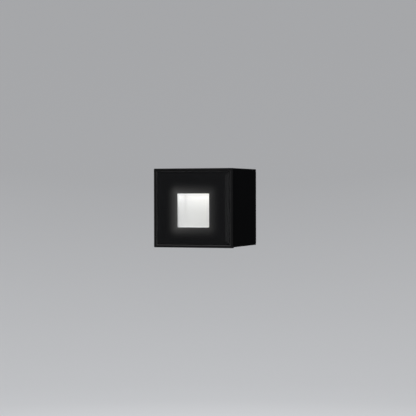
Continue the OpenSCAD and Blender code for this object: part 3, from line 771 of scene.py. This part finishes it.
# A screw with its seat at y = 0, its head on the +Y side and its shank towards -Y
def screwMesh(shankRadius, headRadius, headHigh, shankLong, shape=screwShape):
    head = bmesh.new()
    profile = [(0.0005 * mm, headHigh)]
    for share, up in shape["dome"]:
        profile.append((headRadius * share, headHigh * up))
    profile.append((shankRadius * 0.5, 0.0))
    profile.append((shankRadius * 0.5, -0.2 * mm))
    turned(head, profile, (0.0, 0.0, 0.0), segments=36)
    bmesh.ops.recalc_face_normals(head, faces=head.faces)
    cutter = bmesh.new()
    reach = headRadius * shape["recessShare"]
    for wide, tall in ((reach, reach * 0.22), (reach * 0.22, reach)):
        top = roundedLoop(2 * wide, 2 * tall, 0.05 * mm, headHigh * 1.2, steps=1)
        bottom = roundedLoop(1.1 * wide, 1.1 * tall, 0.05 * mm, headHigh * 0.25, steps=1)
        loft(cutter, [top, bottom])
    bmesh.ops.recalc_face_normals(cutter, faces=cutter.faces)
    whole = carved(head, cutter)
    core = shankRadius * shape["coreShare"]
    shank = [(core, 0.1 * mm), (core, -shankLong + core * 0.5), (core * 0.55, -shankLong)]
    turned(whole, shank, (0.0, 0.0, 0.0), segments=20)
    pitch = max(shape["finestPitch"], 2 * shankRadius * shape["pitchShare"])
    thread(whole, shankRadius, core, -0.3 * mm, -shankLong + 0.8 * pitch, pitch, shape["turnSteps"])
    return whole


screwSets = {
    # node: body, slot, finish, shank and head diameters and head height in mm, and which way the head faces
    "frame_screws": (lampHead, "screw_steel", screwSteel, 4.0, 7.5, 2.8, 1),
    "driver_screws": (lampHead, "screw_steel", screwSteel, 3.0, 5.5, 2.0, 1),
    "supply_plug_screws": (lampHead, "screw_steel", screwSteel, 3.0, 5.5, 2.0, 1),
    "head_earth_screw": (lampHead, "brass", brass, 4.0, 7.0, 2.6, 1),
    "light_engine_screws": (lampHead, "screw_steel", screwSteel, 3.0, 5.5, 2.0, -1),
    "plate_earth_screw": (wallSet, "brass", brass, 4.0, 7.0, 2.6, -1),
    "terminal_block_screws": (wallSet, "screw_steel", screwSteel, 2.5, 4.4, 1.8, -1),
    "supply_socket_screws": (wallSet, "screw_steel", screwSteel, 2.5, 4.4, 1.8, -1),
}


def makeScrews(node, body, slotName, finish, shank, head, headHigh, facing):
    low, high, size, middle = sizeOf(node)
    headHigh = headHigh * mm
    one = screwMesh(shank * mm / 2, head * mm / 2, headHigh, size.y - headHigh)
    master = bpy.data.meshes.new("scratch")
    one.to_mesh(master)
    one.free()
    seat = high.y - headHigh if facing > 0 else low.y + headHigh
    chance = random.Random(node)
    places = []
    for x, z in screwPlaces(node, head * mm / 2):
        turn = Matrix.Rotation(chance.uniform(0, math.pi), 4, "Y")
        if facing < 0:
            turn = Matrix.Rotation(math.pi, 4, "Z") @ turn
        places.append(Matrix.Translation((x, seat, z)) @ turn)
    bm = bmesh.new()
    repeated(bm, master, places)
    bpy.data.meshes.remove(master)
    addPiece(pieceName(node), bm, [finish], body, [node], weighted=False)


for node, settings in screwSets.items():
    makeScrews(node, *settings)


setScrewShape = {
    "socketAcross": 2.0 * mm,
    "socketDeep": 2.4 * mm,
    "coreShare": 0.84,
    "chamfer": 0.4 * mm,
    "pitch": 0.7 * mm,
    "turnSteps": 18,
}


def makeSetScrews(shape=setScrewShape):
    low, high, size, middle = sizeOf("set_screws")
    radius = size.y / 2
    body = bmesh.new()
    core = radius * shape["coreShare"]
    chamfer = shape["chamfer"]
    profile = [(core - chamfer, 0.0), (core, chamfer), (core, size.z - chamfer), (core - chamfer, size.z)]
    turned(body, profile, (0.0, 0.0, 0.0), axis="Z", segments=36)
    bmesh.ops.recalc_face_normals(body, faces=body.faces)
    socket = bmesh.new()
    corner = shape["socketAcross"] / 2 / math.cos(math.pi / 6)
    profile = [(corner, -mm), (corner, shape["socketDeep"]), (0.1 * mm, shape["socketDeep"] + 0.4 * mm)]
    turned(socket, profile, (0.0, 0.0, 0.0), axis="Z", segments=6)
    bmesh.ops.recalc_face_normals(socket, faces=socket.faces)
    one = carved(body, socket)
    ridge = bmesh.new()
    thread(ridge, radius, core, 0.35 * mm, size.z - 0.5 * mm, shape["pitch"], shape["turnSteps"])
    bmesh.ops.transform(ridge, matrix=Matrix.Rotation(math.pi / 2, 4, "X"), verts=ridge.verts)
    master = bpy.data.meshes.new("scratch")
    ridge.to_mesh(master)
    ridge.free()
    one.from_mesh(master)
    one.to_mesh(master)
    one.free()
    bm = bmesh.new()
    places = [Matrix.Translation((x, middle.y, low.z)) for x in (low.x + radius, high.x - radius)]
    repeated(bm, master, places)
    bpy.data.meshes.remove(master)
    addPiece("setScrews", bm, [blackenedSteel], lampHead, ["set_screws"], weighted=False)


makeSetScrews()
print("screws made")


# Grommets, turned with soft lips

def softened(profile, radius=0.35 * mm, steps=3):  # rounds the corners of a closed (radius, along) outline
    points = [Vector(p) for p in profile]
    result = []
    for i, corner in enumerate(points):
        before, after = points[i - 1] - corner, points[(i + 1) % len(points)] - corner
        reach = min(radius, before.length / 2.2, after.length / 2.2)
        start, end = corner + before.normalized() * reach, corner + after.normalized() * reach
        for step in range(steps + 1):
            t = step / steps
            result.append((start * (1 - t) ** 2 + corner * 2 * t * (1 - t) + end * t * t)[:])
    return result


cableGrommetShape = {
    "bore": 4.5 * mm,
    "neck": 8.0 * mm,
    "nose": 6.5 * mm,
    "noseTaper": 0.9 * mm,
    "flangeThick": 1.5 * mm,
    "flangeTaper": 0.4 * mm,
    "plate": 2.0 * mm,         # the steel that it grips
}


def makeCableGrommet(shape=cableGrommetShape):
    low, high, size, middle = sizeOf("cable_grommet")
    bore, flange, neck, nose = shape["bore"], size.x / 2, shape["neck"], shape["nose"]
    wall = high.y
    outside = wall - shape["flangeThick"]
    inside = outside - shape["plate"]
    shoulder = inside - shape["flangeThick"]
    outline = [
        (bore, wall), (flange, wall), (flange, outside), (neck, outside), (neck, inside), (flange, inside),
        (flange - shape["flangeTaper"], shoulder), (nose, shoulder), (nose - shape["noseTaper"], low.y),
        (bore, low.y),
    ]
    bm = bmesh.new()
    turned(bm, softened(outline), (middle.x, 0.0, middle.z), ring=True, segments=56)
    addPiece("cableGrommet", bm, [blackRubber], wallSet, ["cable_grommet"])


leadGrommetShape = {"bore": 2.4 * mm, "neck": 3.6 * mm, "flangeThick": 1.4 * mm}


def makeLeadGrommet(shape=leadGrommetShape):
    low, high, size, middle = sizeOf("lead_grommet")
    bore, flange, neck, thick = shape["bore"], size.x / 2, shape["neck"], shape["flangeThick"]
    outline = [
        (bore, high.y), (flange, high.y), (flange, high.y - thick), (neck, high.y - thick),
        (neck, low.y + thick), (flange, low.y + thick), (flange, low.y), (bore, low.y),
    ]
    bm = bmesh.new()
    turned(bm, softened(outline), (middle.x, 0.0, middle.z), ring=True)
    addPiece("leadGrommet", bm, [blackRubber], lampHead, ["lead_grommet"])


makeCableGrommet()
makeLeadGrommet()
print("grommets made")


# Leads, along the CAD's own routes: across, up and out from the wall, in millimetres
leadRoutes = {
    "live_lead": [
        (-8, 29, 10), (-8, 34, 10), (-6, 37, 10.5), (0, 38, 11), (10, 38, 11), (15, 36.5, 10.5),
        (17, 33.5, 10), (17, 30, 10),
    ],
    "neutral_lead": [
        (-18, 29, 10), (-18, 33, 10), (-17, 36.5, 13), (-8, 38, 15.5), (12, 38, 15.5), (20, 37.2, 14.5),
        (23, 34.5, 12), (23, 33, 11), (23, 30, 11),
    ],
    "earth_lead": [
        (-28, 29, 10), (-28, 33, 10.3), (-27, 36.2, 14.5), (-23, 37.8, 19), (-14, 38, 20), (14, 38, 20),
        (24, 37.4, 18), (28.4, 35.4, 14), (29, 33, 12), (29, 30, 12),
    ],
    "plate_earth_lead": [
        (-18, -16, 6.3), (-18, -13, 6.3), (-18.2, -8, 7.5), (-19.5, -1, 10), (-22.5, 5, 11), (-26, 9, 10.6),
        (-28, 12.5, 10), (-28, 17, 10),
    ],
    "driver_live_lead": [
        (17, 16, 46), (17, 12.5, 46), (18.3, 8.8, 46.4), (22, 6.2, 47), (29, 5, 47.5), (38, 4, 48),
        (43, 0, 48.5), (45, -6, 49), (43, -12, 49), (38.5, -14, 49), (30.5, -14, 49),
    ],
    "driver_neutral_lead": [
        (23, 16, 42), (23, 12, 42), (27, 9.5, 42), (36, 8.5, 42.5), (43.5, 5, 43.5), (47.5, -4, 45),
        (47.5, -14, 47), (44, -21, 48.5), (39, -22, 49), (30.5, -22, 49),
    ],
    "head_earth_lead": [
        (29, 16, 50), (29, 13, 50), (29.3, 10.6, 51.6), (30.2, 8.8, 54.4), (32, 8, 56.7), (34, 8, 57.3),
        (36, 8, 57.3),
    ],
    "led_plus_lead": [
        (-30.5, -14, 49), (-39, -14, 49), (-43.5, -11, 49.4), (-45.2, -4, 50), (-44.6, 3, 50.4),
        (-44, 6, 51.6), (-44, 7, 54), (-44, 7, 57), (-44, 7, 61), (-44, 7, 65), (-43.4, 6, 67.4),
        (-42, 3, 68.6), (-40.4, 0, 68.4), (-38.6, -1.5, 67.8), (-37, -1.5, 67.6), (-35, -1.5, 67.6),
    ],
    "led_minus_lead": [
        (-30.5, -22, 49), (-40, -22, 49), (-45.5, -18, 49), (-48, -8, 49.4), (-48, -1, 50.4),
        (-47.4, 2.6, 52.4), (-45.6, 4.5, 54.8), (-44.2, 4.8, 57.2), (-44, 4.8, 61), (-44, 4.8, 64.8),
        (-44, 3.8, 66.8), (-43.6, 0.5, 68.2), (-42.6, -3, 68.2), (-40.4, -4.7, 67.7), (-38, -4.7, 67.6),
        (-35, -4.7, 67.6),
    ],
}
leadKinds = {
    # node: body, slot, colours, diameter
    "live_lead": (wallSet, "brown_insulation", ["brown"], 2.2 * mm),
    "neutral_lead": (wallSet, "blue_insulation", ["blue"], 2.2 * mm),
    "earth_lead": (wallSet, "earth_insulation", ["green", "yellow"], 2.2 * mm),
    "plate_earth_lead": (wallSet, "earth_insulation", ["green", "yellow"], 2.2 * mm),
    "driver_live_lead": (lampHead, "brown_insulation", ["brown"], 2.2 * mm),
    "driver_neutral_lead": (lampHead, "blue_insulation", ["blue"], 2.2 * mm),
    "head_earth_lead": (lampHead, "earth_insulation", ["green", "yellow"], 2.2 * mm),
    "led_plus_lead": (lampHead, "red_insulation", ["red"], 1.8 * mm),
    "led_minus_lead": (lampHead, "black_insulation", ["black"], 1.8 * mm),
}


# An earth lead's two yellow spirals: rings for one step round, faces from spiral to spiral, yellow faces
stripe = {"rings": 5, "repeat": 7, "yellow": 3}


def smoothRoute(points, between=6):  # a curve through every point
    result = []
    for i in range(len(points) - 1):
        before, start = points[max(i - 1, 0)], points[i]
        end, after = points[i + 1], points[min(i + 2, len(points) - 1)]
        for step in range(between):
            t = step / between
            curve = 2 * start + (end - before) * t
            curve += (2 * before - 5 * start + 4 * end - after) * t * t
            curve += (3 * start - before - 3 * end + after) * t ** 3
            result.append(curve / 2)
    return result + [points[-1]]


def makeLead(node, body, slotName, colours, diameter, sides=14):
    route = smoothRoute([Vector((x * mm, -out * mm, up * mm)) for x, up, out in leadRoutes[node]])
    heading = (route[1] - route[0]).normalized()
    aside = heading.orthogonal().normalized()
    loops = []
    for i, point in enumerate(route):
        ahead = (route[min(i + 1, len(route) - 1)] - route[max(i - 1, 0)]).normalized()
        aside = (aside - ahead * aside.dot(ahead)).normalized()
        other = ahead.cross(aside)
        spokes = [2 * math.pi * k / sides for k in range(sides)]
        loops.append([point + (aside * math.cos(a) + other * math.sin(a)) * diameter / 2 for a in spokes])
    bm = bmesh.new()
    faces = loft(bm, loops)
    if len(colours) > 1:
        for i, face in enumerate(faces[:-2]):
            along, around = divmod(i, sides)
            turn = (around + along // stripe["rings"]) % stripe["repeat"]
            face.material_index = 1 if turn < stripe["yellow"] else 0
    finishes = [leadColours[colour] for colour in colours]
    addPiece(pieceName(node), bm, finishes, body, [node], weighted=False)


for node, settings in leadKinds.items():
    makeLead(node, *settings)
print("leads made")


# LED packages: a white body with a phosphor well

ledShape = {
    "side": 3.5 * mm,
    "cornerRadius": 0.2 * mm,
    "edge": 0.1 * mm,
    "rim": 0.45 * mm,
    "wellSlope": 0.1 * mm,
    "wellDeep": 0.12 * mm,
}


def makeLedPackages(shape=ledShape):
    low, high, size, middle = sizeOf("led_chips")
    side, edge, rim = shape["side"], shape["edge"], shape["rim"]
    pitch = (size.x - side) / 2
    section = [(0.0, high.y), (0.0, low.y + edge), (edge, low.y), (rim, low.y)]
    section.append((rim + shape["wellSlope"], low.y + shape["wellDeep"]))
    bm = bmesh.new()
    for column in (-1, 0, 1):
        for row in (-1, 0, 1):
            centre = (middle.x + column * pitch, middle.z + row * pitch)
            loops = []
            for inset, depth in section:
                across = side - 2 * inset
                loops.append(roundedLoop(across, across, shape["cornerRadius"], depth, centre))
            faces = loft(bm, loops)
            faces[-1].material_index = 1
    addPiece("ledPackages", bm, [whiteMoulding, phosphor], lampHead, ["led_chips"])


makeLedPackages()


# CAD nodes that keep their shape get a finish, and most get softened edges

cadFinishes = {
    "housing": blackCoat,
    "wall_gasket": cellFoam,
    "wall_plate": platedSteel,
    "terminal_block": whiteMoulding,
    "terminal_inserts": brass,
    "terminal_clamp_screws": screwSteel,
    "supply_socket": darkMoulding,
    "plate_earth_washer": screwSteel,
    "plate_earth_ring": tinnedCopper,
    "reflector": whiteMoulding,
    "led_board": boardWhite,
    "led_connector": whiteMoulding,
    "thermal_pad": greyPad,
    "driver_case": greyMoulding,
    "driver_lid": lidMoulding,
    "driver_board": boardGreen,
    "supply_plug": darkMoulding,
    "plug_pins": brass,
    "head_earth_ring": tinnedCopper,
}
softEdges = {
    # node: width of the softened edge in mm
    "wall_plate": 0.2, "terminal_block": 0.25, "supply_socket": 0.25, "reflector": 0.2, "led_board": 0.1,
    "led_connector": 0.2, "driver_case": 0.25, "driver_lid": 0.25, "supply_plug": 0.25, "housing": 0.25,
    "terminal_inserts": 0.15,
}


def smoothNodes():
    group = bpy.data.node_groups.new("smoothByAngle", "GeometryNodeTree")
    group.interface.new_socket("Geometry", in_out="INPUT", socket_type="NodeSocketGeometry")
    group.interface.new_socket("Geometry", in_out="OUTPUT", socket_type="NodeSocketGeometry")
    source = group.nodes.new("NodeGroupInput")
    result = group.nodes.new("NodeGroupOutput")
    unset = group.nodes.new("GeometryNodeRemoveAttribute")
    unset.inputs["Name"].default_value = "custom_normal"
    faces = group.nodes.new("GeometryNodeSetShadeSmooth")
    faces.domain = "FACE"
    edges = group.nodes.new("GeometryNodeSetShadeSmooth")
    edges.domain = "EDGE"
    edges.inputs["Shade Smooth"].default_value = False
    angle = group.nodes.new("GeometryNodeInputMeshEdgeAngle")
    sharper = group.nodes.new("FunctionNodeCompare")
    sharper.operation = "GREATER_THAN"
    sharper.inputs[1].default_value = math.radians(40)
    group.links.new(source.outputs[0], unset.inputs[0])
    group.links.new(unset.outputs[0], faces.inputs[0])
    group.links.new(faces.outputs[0], edges.inputs[0])
    group.links.new(angle.outputs[0], sharper.inputs[0])
    group.links.new(sharper.outputs[0], edges.inputs["Selection"])
    group.links.new(edges.outputs[0], result.inputs[0])
    return group


smoothGroup = smoothNodes()


def soften(node, wide, sharp=math.radians(40)):
    piece = cad[node]
    weld = piece.modifiers.new("weld", "WELD")
    weld.merge_threshold = 0.002 * mm
    flats = piece.modifiers.new("flats", "DECIMATE")
    flats.decimate_type = "DISSOLVE"
    flats.angle_limit = math.radians(0.5)
    bevel = piece.modifiers.new("edges", "BEVEL")
    bevel.width = wide * mm
    bevel.segments = 2
    bevel.limit_method = "ANGLE"
    bevel.angle_limit = sharp
    bevel.use_clamp_overlap = True
    smooth = piece.modifiers.new("smooth", "NODES")
    smooth.node_group = smoothGroup
    weighted = piece.modifiers.new("weightedNormals", "WEIGHTED_NORMAL")
    weighted.keep_sharp = True


for node, finish in cadFinishes.items():
    cad[node].data.materials.clear()
    cad[node].data.materials.append(finish)
for node, wide in softEdges.items():
    soften(node, wide)
print("CAD nodes finished:", len(cadFinishes))


# Stage, lights and camera

stageSet = {
    "floorDrop": 0.62,         # floor below the light's centre
    "floorRadius": 2.4,
    "coveRadius": 1.2,
    "coveTop": 2.2,
    "colour": (0.60, 0.605, 0.615),
    "frontLight": 0.0,         # the paper's own faint light, in front of the lamp and behind it
    "backLight": 0.30,
}


def makeStage(stage=stageSet):
    s = Shader("stagePaper")
    at = s.place()
    soft = s.noise(at, 1.2, 3.0)
    behind = s.axes(at)[1].rise(-1.6, 1.8)
    own = stage["frontLight"] + behind * (stage["backLight"] - stage["frontLight"])
    tone = s.blend(soft * 0.25, stage["colour"], tuple(0.93 * c for c in stage["colour"]))
    paper = s.surface(
        Base_Color=tone,
        Roughness=0.9,
        Specular_IOR_Level=0.1,
        Emission_Color=s.node("VectorMath", {"operation": "SCALE"}, {0: stage["colour"], "Scale": own}),
        Emission_Strength=1.0,
    )
    floor = -stage["floorDrop"]
    reach, bend = stage["floorRadius"], stage["coveRadius"]
    profile = [(0.01, floor), (0.6, floor), (1.6, floor), (reach, floor)]
    for step in range(1, 9):
        angle = math.radians(90 * step / 8)
        profile.append((reach + bend * math.sin(angle), floor + bend * (1 - math.cos(angle))))
    profile.append((reach + bend, stage["coveTop"]))
    bm = bmesh.new()
    turned(bm, profile, (0.0, 0.0, 0.0), axis="Z", segments=96)
    bm.faces.ensure_lookup_table()
    caps = [face for face in bm.faces if len(face.verts) > 4 and face.calc_center_median().z > 0]
    bmesh.ops.delete(bm, geom=caps, context="FACES_ONLY")
    mesh = bpy.data.meshes.new("floor")
    bm.to_mesh(mesh)
    bm.free()
    mesh.materials.append(paper)
    mesh.shade_smooth()
    floorPiece = bpy.data.objects.new("floor", mesh)
    bpy.context.scene.collection.objects.link(floorPiece)
    floorPiece.visible_diffuse = False    # its pale bounce would wash out the black finishes
    floorPiece.visible_glossy = False


lights = {
    # name: azimuth, elevation, distance, size, power, colour
    "key": (-6.0, 48.0, 2.4, 1.1, 62.0, (1.0, 0.99, 0.975)),
    "panel": (1.0, 3.0, 3.0, 1.7, 1.8, (1.0, 1.0, 1.0)),
    "back": (200.0, 48.0, 2.4, 1.6, 40.0, (0.97, 0.985, 1.0)),
    "rake": (104.0, 24.0, 2.6, 1.2, 3.5, (0.98, 0.99, 1.0)),
}


worldSet = {"colour": (0.90, 0.93, 1.0), "strength": 0.17}


def makeLights():
    for name, (azimuth, elevation, distance, size, power, colour) in lights.items():
        lamp = bpy.data.lights.new(name, "AREA")
        lamp.shape = "SQUARE"
        lamp.size = size
        lamp.energy = power
        lamp.color = colour
        a, e = math.radians(azimuth), math.radians(elevation)
        toward = Vector((math.sin(a) * math.cos(e), -math.cos(a) * math.cos(e), math.sin(e)))
        lampObject = bpy.data.objects.new(name, lamp)
        lampObject.location = Vector((0.0, -0.05, 0.0)) + toward * distance
        lampObject.rotation_euler = toward.to_track_quat("Z", "Y").to_euler()
        bpy.context.scene.collection.objects.link(lampObject)
    world = bpy.data.worlds.new("studio")
    world.use_nodes = True
    background = world.node_tree.nodes["Background"]
    background.inputs["Color"].default_value = rgba(worldSet["colour"])
    background.inputs["Strength"].default_value = worldSet["strength"]
    bpy.context.scene.world = world


cameraSet = {
    "aside": 0.600,            # metres to the right of the light's middle
    "away": 1.698,             # metres from the wall
    "above": 0.017,
    "turn": 19.93,             # degrees to the left
    "tilt": -0.57,
    "roll": -0.12,
    "lens": 117.5,
}


def makeCamera(view=cameraSet):
    camera = bpy.data.cameras.new("camera")
    camera.lens = view["lens"]
    camera.sensor_width = 36.0
    camera.clip_start = 0.01
    camera.clip_end = 50.0
    cameraObject = bpy.data.objects.new("camera", camera)
    turn = Matrix.Rotation(math.radians(view["turn"]), 4, "Z")
    tilt = Matrix.Rotation(math.radians(90 + view["tilt"]), 4, "X")
    roll = Matrix.Rotation(math.radians(view["roll"]), 4, "Z")
    place = Matrix.Translation((view["aside"], -view["away"], view["above"]))
    cameraObject.matrix_world = place @ turn @ tilt @ roll
    bpy.context.scene.collection.objects.link(cameraObject)
    bpy.context.scene.camera = cameraObject


makeStage()
makeLights()
makeCamera()
bpy.context.scene.view_settings.view_transform = "Standard"
bpy.context.scene.view_settings.look = "None"
print("stage, lights and camera made")
